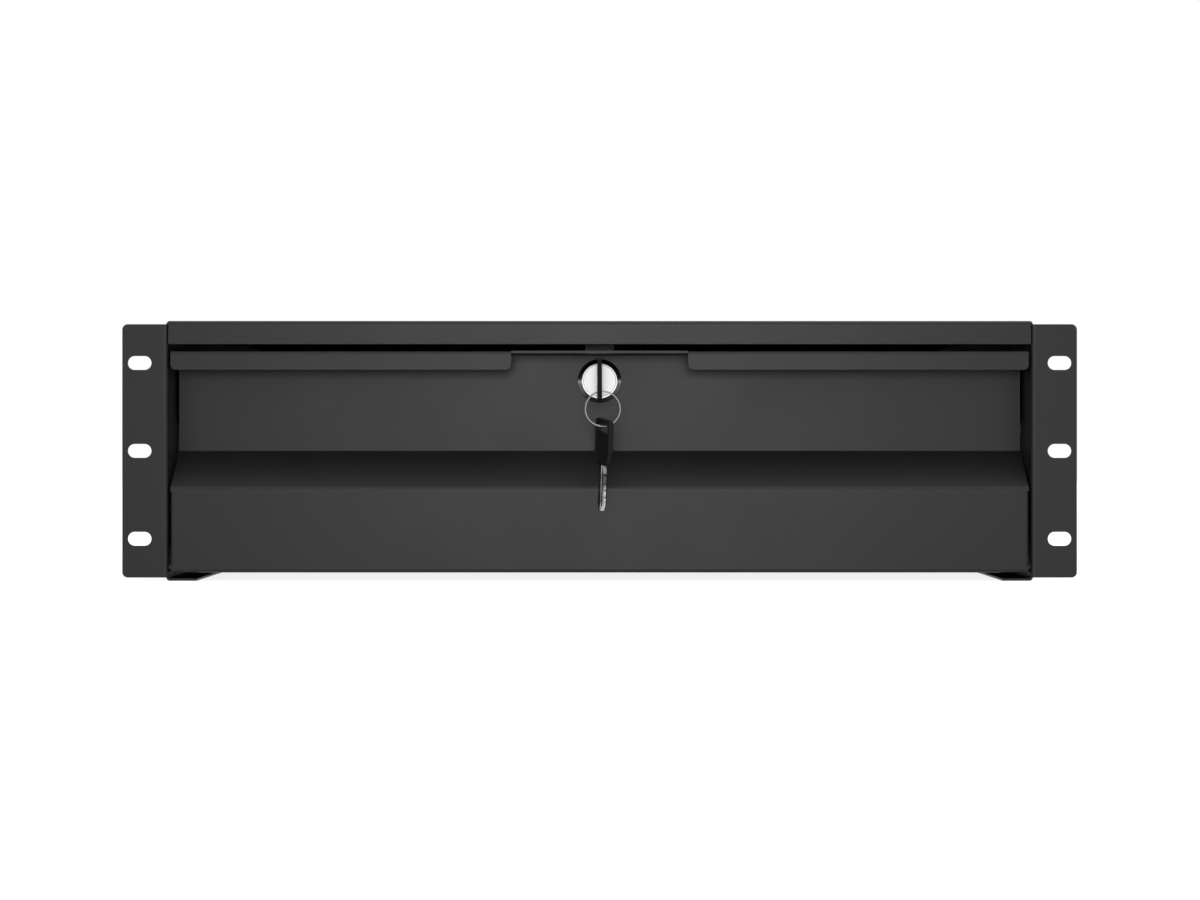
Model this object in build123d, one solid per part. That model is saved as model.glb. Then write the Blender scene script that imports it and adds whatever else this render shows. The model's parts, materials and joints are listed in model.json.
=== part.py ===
from build123d import *
import math
import os

# Sliding rack drawer, three rack units high: a folded steel case that bolts to the rack by its ears,
# and a lockable drawer that runs out of it on two ball-bearing slides.
# Millimetres. X runs to the right, -Y comes out of the front, Z is up. The origin is the middle of
# the slot pattern, on the rear face of the ears, where they meet the rack's posts.

# Sheet metal, used by the case and the drawer
sheet = 1.2
fold = 0.6  # inside radius of every fold
weld_tab = 10.0
edge_gap = 0.8  # left between the edge of one sheet and the folds of the next
over = 5.0  # how far a cut runs past the faces it goes through

# Case and its rear panel
case_width = 438.8
case_height = 131.6
case_depth = 400.0
top_lip = 11.9
bottom_flange = 15.5
slit = 0.1  # between the top lip and the side walls
panel_flange = 14.0

# Ears
ear_reach = 21.9
ear_height = 128.1
ear_corner = 2.75
slot_inset = 8.75  # from the ear's end to the middle of its slots
slot_pitch_z = 44.45
slot_length = 12.0
slot_width = 7.0

# Drawer front
side_gap = 1.2
bottom_gap = 3.0
top_gap = 3.3
face_height = 43.0
slope_height = 18.6
recess = 21.0
pull_height = 9.7
pull_gap = 89.5  # between the two finger pulls, in front of the lock
pull_corner = 2.8
face_corner = 2.0
return_depth = 18.0

# Drawer tray
rear_room = 15.0  # between the back of the tray and the back of the case
tray_below_front = 6.6
tray_hem = 7.0
back_drop = 6.4  # from the tray's hems down to the top of its back
back_flange = 10.0

# Slides: each size is counted inward from the case wall, or up and down from the slide's middle
slide_start = 30.0
slide_inset = 5.0  # from the back of the slide to the back of the tray
slide_drop = 8.0
slide_space = 12.7
rail = 1.2
outer_half = 22.75
outer_flange = 10.5
middle_web_gap = 1.0
middle_half = 18.25
middle_flange = 8.8
inner_half = 14.65
inner_flange = 8.1
ball_line = 7.0
outer_ball = 4.0
inner_ball = 3.0
ball_play = 0.05
ball_count = 7
cage_sheet = 0.4
cage_length = 170.0
cage_reach = 9.5
cage_gap = 0.3
bumper_length = 4.0
bumper_height = 14.0
bumper_reach = 8.0

# Screws and rivets
screw_radius = 2.0
screw_head_radius = 3.7
screw_head_height = 1.6
hole_play = 0.1
thread_play = 0.05
cross_length = 4.0
cross_width = 0.8
cross_depth = 0.9
case_screw_inset = 20.0
tray_screw_inset = 45.0
rivet_radius = 1.6
rivet_head_radius = 3.2
rivet_head_height = 1.1
rivet_tail_radius = 2.6
rivet_tail_height = 1.5
rivet_round = 0.7

# Lock
lock_drop = 14.55  # from the top of the drawer front to the middle of the lock
lock_head_radius = 11.25
lock_face_radius = 9.0
lock_head_height = 3.0
lock_bevel = 1.8
barrel_radius = 9.4
barrel_flat = 8.2
barrel_length = 18.0
plug_face_radius = 8.2
plug_face_depth = 1.5
plug_radius = 6.25
plug_play = 0.05
plug_sink = 0.1
drive_square = 7.5
nut_flats = 24.0
nut_height = 3.0
lock_washer_radius = 13.0
lock_washer_height = 0.8
cam_thickness = 2.0
cam_width = 14.0
cam_reach = 24.0
cam_gap = 0.2
cam_screw_radius = 2.0
cam_screw_head_radius = 3.5
cam_screw_head_height = 2.4
cam_screw_length = 4.0
cam_washer_radius = 5.5
cam_washer_height = 0.8
latch_play = 1.5
strike_width = 15.2
strike_foot = 12.0
strike_above_front = 1.2

# Keys: a plastic head on a flat steel blade
head_width = 22.0
head_length = 23.4
head_thickness = 2.4
head_round = 0.9
head_corner = 2.5
shoulder_share = 0.30  # the share of the head's width that each lower shoulder takes
eye_length = 15.2
eye_width = 4.0
eye_corner = 0.8
eye_inset = 5.0
blade_length = 23.0
blade_width = 6.8
blade_thickness = 1.9
blade_play = 0.05
tip_length = 3.0
tip_width = 2.6
cut_count = 4
cut_depth = 1.3
key_standoff = 4.8  # from the lock's face to the head of the key

# Key ring, and where it hangs from the lock's middle
ring_radius = 8.6
wire_radius = 0.5
ring_right = 1.6
ring_below = 14.9
ring_in_eye = -0.9  # from the middle of the key's eye, towards the front
spare_yaw = 71.0
spare_tilt = 6.0
spare_shift = 2.4
spare_play = 0.35

# Derived sizes
wall_out = case_width / 2
wall_in = wall_out - sheet
ear_span = case_width + 2 * ear_reach
slot_pitch_x = ear_span - 2 * slot_inset
top = case_height / 2
bottom = -top
inner_top = top - sheet
inner_bottom = bottom + sheet
front_half = wall_in - side_gap
front_top = top - top_lip - top_gap
front_bottom = inner_bottom + bottom_gap
face_top = front_bottom + face_height
slope_top = face_top + slope_height
face_y = -sheet
panel_y = face_y + recess
panel_back = panel_y + sheet
pull_bottom = front_top - pull_height
tray_half = wall_in - slide_space
tray_bottom = front_bottom + sheet
tray_floor = tray_bottom + sheet
tray_top = front_top - tray_below_front
tray_length = case_depth - rear_room
back_low = tray_floor + edge_gap
back_height = tray_top - back_drop - back_low
slide_z = -slide_drop
slide_end = tray_length - slide_inset
slide_length = slide_end - slide_start
lock_z = front_top - lock_drop
lock_y = panel_y - lock_head_height
barrel_end = panel_y + barrel_length
cam_y = barrel_end + cam_gap
key_y = lock_y - key_standoff
strike_front = cam_y - latch_play - sheet
strike_bottom = front_top + strike_above_front
ring_y = key_y - head_length + eye_inset + ring_in_eye
ring_z = lock_z - ring_below


def along_x(section, start, end):
    """Solid on a section drawn as (y, z), from one x to another."""
    return extrude(Plane.YZ.offset(start) * section, amount=end - start)


def along_y(section, start, end):
    """Solid on a section drawn as (x, z), from one y to another."""
    return extrude(Plane.XZ.offset(-start) * section, amount=start - end)


def along_z(section, start, end):
    """Solid on a section drawn as (x, y), from one z to another."""
    return extrude(Plane.XY.offset(start) * section, amount=end - start)


def block(x, y, z):
    """Box between two corners, each direction given as (low, high)."""
    sizes = (x[1] - x[0], y[1] - y[0], z[1] - z[0])
    return Pos(x[0], y[0], z[0]) * Box(*sizes, align=(Align.MIN, Align.MIN, Align.MIN))


def folded_section(points, thick=sheet, inside=fold):
    """Section of a folded sheet: the points run along one skin and the metal lies on their left."""
    skin = [Vector(*point) for point in points]
    runs = [(after - before).normalized() for before, after in zip(skin, skin[1:])]
    lefts = [Vector(-run.Y, run.X) for run in runs]
    other = [skin[0] + lefts[0] * thick]
    radii, other_radii = [], []
    for corner, run, left, next_left in zip(skin[1:], runs, lefts, lefts[1:]):
        other.append(corner + (left + next_left) * (thick / (1 + left.dot(next_left))))
        metal_inside = next_left.dot(run) < 0
        radii.append(inside + thick if metal_inside else inside)
        other_radii.append(inside if metal_inside else inside + thick)
    other.append(skin[-1] + lefts[-1] * thick)
    radii = [0, *radii, 0, 0, *reversed(other_radii), 0]
    return make_face(FilletPolyline(*skin, *reversed(other), radius=radii, close=True))


def turned(points):
    """Solid of revolution about the lock's axis, from points given as (radius, y)."""
    return Pos(0, 0, lock_z) * revolve(make_face(Polyline(*points, close=True)), Axis.Y)


def mirrored(shape):
    return mirror(shape, Plane.YZ)


def spaced(start, end, count):
    """Evenly spaced places from start to end, both included."""
    return [start + (end - start) * i / (count - 1) for i in range(count)]


def write_node(name, *solids):
    """Writes one node: a single solid, or a group of like fasteners kept as separate solids."""
    shape = solids[0] if len(solids) == 1 else Compound(children=list(solids))
    export_step(shape, f"parts/{name}.step")


def write_pair(name, *right_solids):
    """Writes the right-hand node and its mirror image on the left."""
    write_node(f"{name}_right", *right_solids)
    write_node(f"{name}_left", *[mirrored(solid) for solid in right_solids])


def both_sides(solids):
    return [*solids, *[mirrored(solid) for solid in solids]]


# Case

case_screw_y = spaced(slide_start + case_screw_inset, slide_end - case_screw_inset, 3)
tray_screw_y = spaced(slide_start + tray_screw_inset, slide_end - tray_screw_inset, 3)
rivet_y = case_depth - panel_flange / 2
rivet_z = spaced(bottom * 2 / 3, top * 2 / 3, 3)
back_rivet_y = tray_length - back_flange / 2
back_rivet_z = [back_low + back_height / 6, back_low + back_height * 5 / 6]


def ear():
    """Right ear: the side wall folded outward, with rounded corners and three slots."""
    start = fold + sheet
    section = folded_section([(wall_in, start), (wall_in, -sheet), (ear_span / 2, -sheet)])
    body = along_z(section, -ear_height / 2, ear_height / 2)
    corners = body.edges().filter_by(Axis.Y).group_by(Axis.X)[-1]
    body = fillet(corners, ear_corner)
    for z in (-slot_pitch_z, 0, slot_pitch_z):
        slot = Pos(slot_pitch_x / 2, z) * SlotOverall(slot_length, slot_width)
        body -= along_y(slot, -sheet - over, over)
    return body


def wall_hole(y, z, radius):
    return along_x(Pos(y, z) * Circle(radius), wall_in - over, wall_out + over)


def case_shell():
    """One folded sheet: top, side walls, bottom flanges, ears, and the lip above the drawer."""
    ring = RectangleRounded(case_width, case_height, fold + sheet)
    ring -= RectangleRounded(case_width - 2 * sheet, case_height - 2 * sheet, fold)
    ring -= Pos(0, bottom) * Rectangle(case_width - 2 * bottom_flange, 2 * (sheet + fold))
    shell = along_y(ring, fold, case_depth)
    lip = folded_section([(fold + sheet, top), (-sheet, top), (-sheet, top - top_lip)])
    shell += along_x(lip, slit - wall_in, wall_in - slit)
    right_ear = ear()
    shell = shell + right_ear + mirrored(right_ear)
    holes = [wall_hole(y, slide_z, screw_radius + hole_play) for y in case_screw_y]
    holes += [wall_hole(rivet_y, z, rivet_radius + hole_play) for z in rivet_z]
    return shell - both_sides(holes)


def rear_panel():
    """Back of the case: a plate with two forward flanges, riveted to the side walls."""
    front = case_depth - panel_flange
    path = [(wall_in, front), (wall_in, case_depth), (-wall_in, case_depth), (-wall_in, front)]
    panel = along_z(folded_section(path), inner_bottom + edge_gap, inner_top - edge_gap)
    holes = [wall_hole(rivet_y, z, rivet_radius + hole_play) for z in rivet_z]
    return panel - both_sides(holes)


def rivet(inside, outside, y, z):
    """Blind rivet along X: a domed head on the outside and its drawn tail on the inside."""
    head = along_x(Pos(y, z) * Circle(rivet_head_radius), outside, outside + rivet_head_height)
    head = fillet(head.edges().group_by(Axis.X)[-1], rivet_round)
    shank = along_x(Pos(y, z) * Circle(rivet_radius), inside - rivet_tail_height, outside)
    tail = along_x(Pos(y, z) * Circle(rivet_tail_radius), inside - rivet_tail_height, inside)
    return head + shank + tail


def pan_screw(length, radius=screw_radius, head=screw_head_radius, height=screw_head_height):
    """Cross-head screw: its head stands on z = 0 and its shank hangs below."""
    cap = fillet(along_z(Circle(head), 0, height).edges().group_by(Axis.Z)[-1], height / 2)
    for size in ((cross_length, cross_width), (cross_width, cross_length)):
        cap -= along_z(Rectangle(*size), height - cross_depth, height + over)
    return cap + along_z(Circle(radius), -length, 0)


def case_screw(y):
    """Right-hand screw through the case wall into the outer rail, its head outside."""
    return Pos(wall_out, y, slide_z) * Rot(0, 90, 0) * pan_screw(sheet + rail)


def lock_strike():
    """Angle welded under the top of the case: the lock's cam turns up behind its leg."""
    half = strike_width / 2
    foot = strike_front + strike_foot
    path = [(foot, inner_top), (strike_front, inner_top), (strike_front, strike_bottom)]
    return along_x(folded_section(path), -half, half)


# Slides, all drawn on the right

def inward(u):
    """X of a place that lies u inward from the right-hand case wall."""
    return wall_in - u


def ball_z(upper, lower):
    """Height of a ball's middle between the faces of two rails, above the slide's middle."""
    return (upper + lower) / 2


outer_ball_z = ball_z(outer_half - rail, middle_half)
inner_ball_z = ball_z(middle_half - rail, inner_half)
middle_web = rail + middle_web_gap
cage_start = slide_start + (slide_length - cage_length) / 2


def channel(tips, web, half_height, start, end):
    """Rail with a web and two flanges; its skin runs round the outside of the web."""
    points = [(inward(tips), -half_height), (inward(web), -half_height)]
    points += [(inward(web), half_height), (inward(tips), half_height)]
    if web > tips:
        points.reverse()
    section = Pos(0, slide_z) * folded_section(points, rail)
    return along_y(section, start, end)


def grooves(height, ball, start, end):
    """The two ball tracks that run along a rail, as solids to cut away."""
    cut = Circle(ball / 2 + ball_play)
    sections = [Pos(inward(ball_line), slide_z + z) * cut for z in (-height, height)]
    return [along_y(section, start - over, end + over) for section in sections]


def outer_rail():
    end = slide_end + bumper_length + cage_gap
    body = channel(outer_flange, 0, outer_half, slide_start, end)
    body -= grooves(outer_ball_z, outer_ball, slide_start, end)
    holes = [Pos(y, slide_z) * Circle(screw_radius + thread_play) for y in case_screw_y]
    return body - [along_x(hole, inward(rail + over), inward(-over)) for hole in holes]


def middle_rail():
    body = channel(middle_web + middle_flange, middle_web, middle_half, slide_start, slide_end)
    body -= grooves(outer_ball_z, outer_ball, slide_start, slide_end)
    return body - grooves(inner_ball_z, inner_ball, slide_start, slide_end)


def inner_rail():
    tips = slide_space - inner_flange
    body = channel(tips, slide_space, inner_half, slide_start, slide_end)
    body -= grooves(inner_ball_z, inner_ball, slide_start, slide_end)
    holes = [Pos(y, slide_z) * Circle(screw_radius + thread_play) for y in tray_screw_y]
    start, end = inward(slide_space + over), inward(slide_space - rail - over)
    return body - [along_x(hole, start, end) for hole in holes]


def ball_places(height, ball):
    """Middles of the balls of one cage: two rows, the same distance apart all along."""
    first, last = cage_start + ball * 2, cage_start + cage_length - ball * 2
    rows = (slide_z - height, slide_z + height)
    return [(inward(ball_line), y, z) for z in rows for y in spaced(first, last, ball_count)]


def ball_cage(web, reach, height, ball):
    """Thin retainer: a web between two rails, and two legs with a hole round each ball."""
    half = height + cage_sheet / 2
    points = [(inward(reach), -half), (inward(web), -half), (inward(web), half), (inward(reach), half)]
    section = Pos(0, slide_z) * folded_section(points, cage_sheet, cage_sheet)
    body = along_y(section, cage_start, cage_start + cage_length)
    for x, y, z in ball_places(height, ball):
        hole = Pos(x, y) * Circle(ball / 2 + 2 * ball_play)
        body -= along_z(hole, z - 2 * cage_sheet, z + 2 * cage_sheet)
    return body


def balls(height, ball):
    return [Pos(*place) * Sphere(ball / 2) for place in ball_places(height, ball)]


def rear_bumper():
    """Rubber block at the back of the outer rail, where the closed slide comes to rest."""
    low = slide_z - bumper_height / 2
    y = (slide_end + cage_gap, slide_end + cage_gap + bumper_length)
    body = block((inward(rail + bumper_reach), inward(rail)), y, (low, low + bumper_height))
    return fillet(body.edges().filter_by(Axis.Y), fold)


# Drawer

def drawer_front():
    """One folded sheet: pulls, top, recessed panel, slope, lower face and bottom return."""
    under_top = front_top - sheet
    path = [(0, pull_bottom), (0, under_top), (panel_y, under_top), (panel_y, slope_top)]
    path += [(face_y, face_top), (face_y, front_bottom), (return_depth, front_bottom)]
    front = along_x(folded_section(path), -front_half, front_half)
    gap = (-pull_gap / 2, pull_gap / 2)
    front -= block(gap, (face_y - over, sheet), (pull_bottom - over, front_top + over))
    front += block(gap, (face_y, sheet), (under_top, front_top))
    pull_ends = front.edges().filter_by(Axis.Y).filter_by_position(Axis.Z, pull_bottom, pull_bottom)
    front = fillet(pull_ends, pull_corner)
    front = with_side_folds(front - both_sides([corner_offcut()]))
    hole = Pos(0, lock_z) * barrel_section(barrel_radius + hole_play, barrel_flat + hole_play)
    return front - along_y(hole, panel_y - over, panel_back + over)


def corner_offcut():
    """What is cut off the lower right corner of the face to round it."""
    x, z, size = front_half, front_bottom, face_corner
    square = Pos(x - size / 2, z + size / 2) * Rectangle(size, size)
    square -= Pos(x - size, z + size) * Circle(size)
    return along_y(square, face_y - over, fold)


def with_side_folds(front):
    """Folds the two ends of the lower face back, where they show once the drawer is open."""
    path = [(front_half - weld_tab, face_y), (front_half, face_y), (front_half, weld_tab)]
    low, high = front_bottom + face_corner + sheet, face_top - fold - sheet
    wing = along_z(folded_section(path), low, high)
    square = block((front_half - fold - sheet, front_half + over), (face_y - over, fold), (low, high))
    return front - both_sides([square]) + both_sides([wing])


def barrel_section(radius, flat):
    return Circle(radius) & Rectangle(2 * flat, 2 * radius)


def back_of_front(clear):
    """Points (y, z) down the back of the drawer front, moved clear of its folds."""
    lean = math.atan2(slope_height, recess)
    rise = (sheet + clear) * math.tan(math.pi / 4 - lean / 2)
    y, panel = clear, panel_back + clear
    return [(panel, front_top), (panel, slope_top - rise), (y, face_top - rise), (y, front_bottom)]


def drawer_tray():
    """Bottom and sides in one folded sheet, with outward hems and tabs that hold the front."""
    hem_under = tray_top - sheet
    path = [(-tray_half - tray_hem, hem_under), (-tray_half, hem_under), (-tray_half, tray_bottom)]
    path += [(-x, z) for x, z in reversed(path)]
    tray = along_y(folded_section(path), 0, tray_length)
    nose = [(-over, front_bottom), (-over, front_top), *back_of_front(edge_gap)]
    tray -= along_x(make_face(Polyline(*nose, close=True)), -wall_in, wall_in)
    tray += both_sides([front_tab(panel_back, slope_top + weld_tab, tray_top - weld_tab)])
    tray += both_sides([front_tab(0, tray_floor + weld_tab, face_top - weld_tab)])
    holes = [Pos(y, slide_z) * Circle(screw_radius + hole_play) for y in tray_screw_y]
    holes += [Pos(back_rivet_y, z) * Circle(rivet_radius + hole_play) for z in back_rivet_z]
    cuts = [along_x(hole, tray_half - sheet - over, tray_half + over) for hole in holes]
    return tray - both_sides(cuts)


def front_tab(y, low, high):
    """Tab folded inward from the tray's right side, flat against the back of the front."""
    inside, rear = tray_half - sheet, y + edge_gap + 2 * sheet
    path = [(inside - weld_tab, y), (tray_half, y), (tray_half, rear)]
    return along_z(folded_section(path), low, high)


def drawer_back():
    """Plate between the tray's sides, with rearward flanges riveted to them."""
    side = tray_half - sheet
    rear, front = tray_length, tray_length - back_flange
    path = [(-side, rear), (-side, front), (side, front), (side, rear)]
    back = along_z(folded_section(path), back_low, back_low + back_height)
    cuts = [Pos(back_rivet_y, z) * Circle(rivet_radius + hole_play) for z in back_rivet_z]
    return back - both_sides([along_x(cut, side - sheet - over, side + over) for cut in cuts])


def tray_screw(y):
    """Right-hand screw through the tray's side into the inner rail, its head in the tray."""
    return Pos(tray_half - sheet, y, slide_z) * Rot(0, -90, 0) * pan_screw(sheet + rail)


# Lock

def lock_body():
    """Bevelled head and barrel, bored for the plug."""
    bore, face_bore = plug_radius + plug_play, plug_face_radius + plug_play
    step = lock_y + plug_face_depth
    body = turned([
        (face_bore, lock_y), (lock_face_radius, lock_y), (lock_head_radius, lock_y + lock_bevel),
        (lock_head_radius, panel_y), (barrel_radius, panel_y), (barrel_radius, barrel_end),
        (bore, barrel_end), (bore, step), (face_bore, step),
    ])
    for side in (-1, 1):
        x = sorted((side * barrel_flat, side * (barrel_radius + over)))
        z = (lock_z - barrel_radius, lock_z + barrel_radius)
        body -= block(x, (panel_y, barrel_end + over), z)
    return body


def lock_ring(outline, start, height):
    """Washer or nut on the barrel, from its outline."""
    ring = outline - barrel_section(barrel_radius + hole_play, barrel_flat + hole_play)
    return along_y(Pos(0, lock_z) * ring, start, start + height)


def blade_slot():
    half, play = blade_width / 2, blade_play
    x = (-blade_thickness / 2 - play, blade_thickness / 2 + play)
    z = (lock_z - half - play, lock_z + half + play)
    return block(x, (lock_y - over, key_y + blade_length + play), z)


def lock_plug():
    """Plug that the key turns: its face, its core, and the square that drives the cam."""
    face, step = lock_y + plug_sink, lock_y + plug_face_depth - plug_play
    plug = turned([
        (0, face), (plug_face_radius, face), (plug_face_radius, step), (plug_radius, step),
        (plug_radius, cam_y), (0, cam_y),
    ])
    square = Pos(0, lock_z) * Rectangle(drive_square, drive_square)
    plug += along_y(square, cam_y, cam_y + cam_thickness)
    hole = Pos(0, lock_z) * Circle(cam_screw_radius + thread_play)
    end = cam_y + cam_thickness
    plug -= along_y(hole, end - cam_screw_length, end + over)
    return plug - blade_slot()


def lock_cam():
    """Flat cam: it points left when the lock is open, and up when it is shut."""
    length, play = cam_reach + cam_width / 2, 2 * plug_play
    plate = Pos((cam_width / 2 - cam_reach) / 2) * RectangleRounded(length, cam_width, cam_width / 4)
    plate -= Rectangle(drive_square + play, drive_square + play)
    return along_y(Pos(0, lock_z) * plate, cam_y, cam_y + cam_thickness)


def cam_washer():
    ring = Circle(cam_washer_radius) - Circle(cam_screw_radius + hole_play)
    start = cam_y + cam_thickness
    return along_y(Pos(0, lock_z) * ring, start, start + cam_washer_height)


def cam_screw():
    seat = cam_y + cam_thickness + cam_washer_height
    length = cam_washer_height + cam_screw_length - hole_play
    screw = pan_screw(length, cam_screw_radius, cam_screw_head_radius, cam_screw_head_height)
    return Pos(0, seat, lock_z) * Rot(-90, 0, 0) * screw


# Keys, drawn with the blade along +Y from the origin and the head's width along Z

def key_head():
    """Flat plastic head with sloping shoulders, and a long eye across its far end."""
    half, end, shoulder = head_width / 2, -head_length, head_width * shoulder_share
    neck = half - shoulder / 2
    outline = FilletPolyline(
        (-half, end), (half, end), (half, -shoulder), (neck, 0), (-neck, 0), (-half, -shoulder),
        radius=head_corner, close=True,
    )
    head = along_x_of_key(make_face(outline), head_thickness)
    eye = Pos(0, end + eye_inset) * RectangleRounded(eye_length, eye_width, eye_corner)
    head -= along_x_of_key(eye, head_thickness + over)
    rims = head.edges().group_by(Axis.X)
    return fillet([*rims[0], *rims[-1]], head_round)


def along_x_of_key(section, thickness):
    """Solid on a section drawn as (z, y) of the key, centred on its thickness."""
    plane = Plane(origin=(-thickness / 2, 0, 0), x_dir=(0, 0, 1), z_dir=(-1, 0, 0))
    return extrude(plane * section, amount=-thickness)


def key_blade():
    """Steel blade with a tapered tip and one cut edge."""
    half, length = blade_width / 2, blade_length
    outline = Polyline(
        (-half, 0), (half, 0), (half, length - tip_length), (tip_width / 2, length),
        (-tip_width / 2, length), (-half, length - tip_length), close=True,
    )
    blade = make_face(outline)
    pitch = (length - 2 * tip_length) / (cut_count + 1)
    for i in range(cut_count):
        y = length - tip_length - pitch * (i + 1)
        depth = cut_depth * (2 + i % 2) / 3
        notch = Polyline((-half, y - depth), (-half + depth, y), (-half, y + depth), close=True)
        blade -= make_face(notch)
    return along_x_of_key(blade, blade_thickness)


def spare_key(shape):
    """Places a key piece so that it hangs by its eye from the bottom of the ring."""
    yaw = math.radians(spare_yaw)
    normal, width = (-math.sin(yaw), -math.cos(yaw), 0), (math.cos(yaw), -math.sin(yaw), 0)
    wire = (ring_right, ring_y, ring_z - ring_radius)
    eye_top = -head_length + eye_inset - eye_width / 2 + wire_radius + spare_play
    hang = Plane(origin=wire, x_dir=normal, z_dir=width)
    return hang.location * Rot(-spare_tilt, 0, 0) * Pos(0, -eye_top, spare_shift) * shape


def key_ring():
    return Pos(ring_right, ring_y, ring_z) * Rot(90, 0, 0) * Torus(ring_radius, wire_radius)


def write_case():
    write_node("case_shell", case_shell())
    write_node("rear_panel", rear_panel())
    write_node("rear_rivets", *both_sides([rivet(wall_in - sheet, wall_out, rivet_y, z) for z in rivet_z]))
    write_node("case_screws", *both_sides([case_screw(y) for y in case_screw_y]))
    write_node("lock_strike", lock_strike())


def write_slides():
    write_pair("outer_rail", outer_rail())
    write_pair("middle_rail", middle_rail())
    write_pair("inner_rail", inner_rail())
    write_pair("rear_bumper", rear_bumper())
    outer_web = rail + cage_gap
    write_pair("outer_cage", ball_cage(outer_web, cage_reach, outer_ball_z, outer_ball))
    write_pair("outer_balls", *balls(outer_ball_z, outer_ball))
    inner_web = middle_web + rail + cage_gap
    write_pair("inner_cage", ball_cage(inner_web, cage_reach, inner_ball_z, inner_ball))
    write_pair("inner_balls", *balls(inner_ball_z, inner_ball))


def write_drawer():
    write_node("drawer_front", drawer_front())
    write_node("drawer_tray", drawer_tray())
    write_node("drawer_back", drawer_back())
    inside = tray_half - 2 * sheet
    rivets = [rivet(inside, tray_half, back_rivet_y, z) for z in back_rivet_z]
    write_node("back_rivets", *both_sides(rivets))
    write_node("tray_screws", *both_sides([tray_screw(y) for y in tray_screw_y]))


def write_lock():
    write_node("lock_body", lock_body())
    write_node("lock_washer", lock_ring(Circle(lock_washer_radius), panel_back, lock_washer_height))
    nut = RegularPolygon(nut_flats / 2, 6, major_radius=False)
    write_node("lock_nut", lock_ring(nut, panel_back + lock_washer_height, nut_height))
    write_node("lock_plug", lock_plug())
    write_node("lock_cam", lock_cam())
    write_node("cam_washer", cam_washer())
    write_node("cam_screw", cam_screw())


def write_keys():
    head, blade = key_head(), key_blade()
    write_node("key_head", Pos(0, key_y, lock_z) * head)
    write_node("key_blade", Pos(0, key_y, lock_z) * blade)
    write_node("key_ring", key_ring())
    write_node("spare_key_head", spare_key(head))
    write_node("spare_key_blade", spare_key(blade))


os.makedirs("parts", exist_ok=True)
write_case()
write_slides()
write_drawer()
write_lock()
write_keys()
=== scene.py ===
# %% [markdown]
# # Sliding rack drawer
#
# This lesson dresses a lockable drawer for a 19-inch rack. Its folded steel, slides, lock and keys arrive
# at their real size, as named nodes of a fixed frame. The steps below add what the frame lacks: a finish
# for each surface, edges that catch the light, and the small shapes of the lock, the keys and the rivets.
# X runs to the right, -Y comes out of the front and Z is up. Lengths are in metres, except in the profiles
# of small shapes, which are easier to read in millimetres.

# %% Load the frame
import json
import math

import bmesh
import bpy
from mathutils import Matrix, Vector
from mathutils.bvhtree import BVHTree
from mathutils.kdtree import KDTree

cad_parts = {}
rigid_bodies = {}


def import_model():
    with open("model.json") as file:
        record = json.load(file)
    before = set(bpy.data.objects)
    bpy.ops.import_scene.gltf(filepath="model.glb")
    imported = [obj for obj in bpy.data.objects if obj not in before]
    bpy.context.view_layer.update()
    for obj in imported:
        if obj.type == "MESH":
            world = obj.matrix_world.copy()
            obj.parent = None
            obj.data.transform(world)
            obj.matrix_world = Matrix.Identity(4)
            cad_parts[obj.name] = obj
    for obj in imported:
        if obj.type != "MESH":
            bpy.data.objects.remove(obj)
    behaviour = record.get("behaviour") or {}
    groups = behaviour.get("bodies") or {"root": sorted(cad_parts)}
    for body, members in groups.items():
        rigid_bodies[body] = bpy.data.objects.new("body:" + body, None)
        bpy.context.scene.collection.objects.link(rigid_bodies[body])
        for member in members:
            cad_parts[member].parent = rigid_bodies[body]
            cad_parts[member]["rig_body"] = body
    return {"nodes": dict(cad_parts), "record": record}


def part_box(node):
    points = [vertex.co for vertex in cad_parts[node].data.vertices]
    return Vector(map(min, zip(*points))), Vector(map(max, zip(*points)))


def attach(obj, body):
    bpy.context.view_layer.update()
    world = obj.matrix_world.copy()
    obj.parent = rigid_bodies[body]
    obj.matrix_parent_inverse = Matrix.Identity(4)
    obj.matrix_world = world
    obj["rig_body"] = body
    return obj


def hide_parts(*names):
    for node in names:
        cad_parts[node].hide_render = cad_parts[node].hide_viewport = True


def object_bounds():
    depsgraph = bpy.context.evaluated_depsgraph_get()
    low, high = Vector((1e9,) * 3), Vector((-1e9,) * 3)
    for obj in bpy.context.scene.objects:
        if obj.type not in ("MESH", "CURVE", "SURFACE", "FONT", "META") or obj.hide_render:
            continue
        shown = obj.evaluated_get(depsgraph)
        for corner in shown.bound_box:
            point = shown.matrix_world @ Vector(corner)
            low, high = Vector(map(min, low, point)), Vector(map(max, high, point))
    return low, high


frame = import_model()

cad_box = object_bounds()
nodes = frame["nodes"]
mm = 0.001

# %% [markdown]
# ## Camera
#
# The drawer is seen square from the front, so the view is fixed by three things: how far away the camera
# stands, how large one millimetre of the ears looks, and where the middle of the picture falls. The lens
# could be tried by eye, but the first two give it directly. A distance of about a metre is what makes the
# recessed panel look a little smaller than the face in front of it.

# %% Camera
image_width = 1200
pixels_per_metre = 1978.7
camera_distance = 1.01
sensor_width = 36
camera_x, camera_z = 0.2 * mm, 0.45 * mm

ears_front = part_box("case_shell")[0].y
camera = bpy.data.objects.new("camera", bpy.data.cameras.new("camera"))
camera.data.sensor_width = sensor_width
camera.data.lens = sensor_width * camera_distance * pixels_per_metre / image_width
camera.location = camera_x, ears_front - camera_distance, camera_z
camera.rotation_euler = math.radians(90), 0, 0
bpy.context.scene.collection.objects.link(camera)
bpy.context.scene.camera = camera
bpy.context.scene.view_settings.view_transform = "Standard"
print("lens", round(camera.data.lens, 2), "mm")

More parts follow.
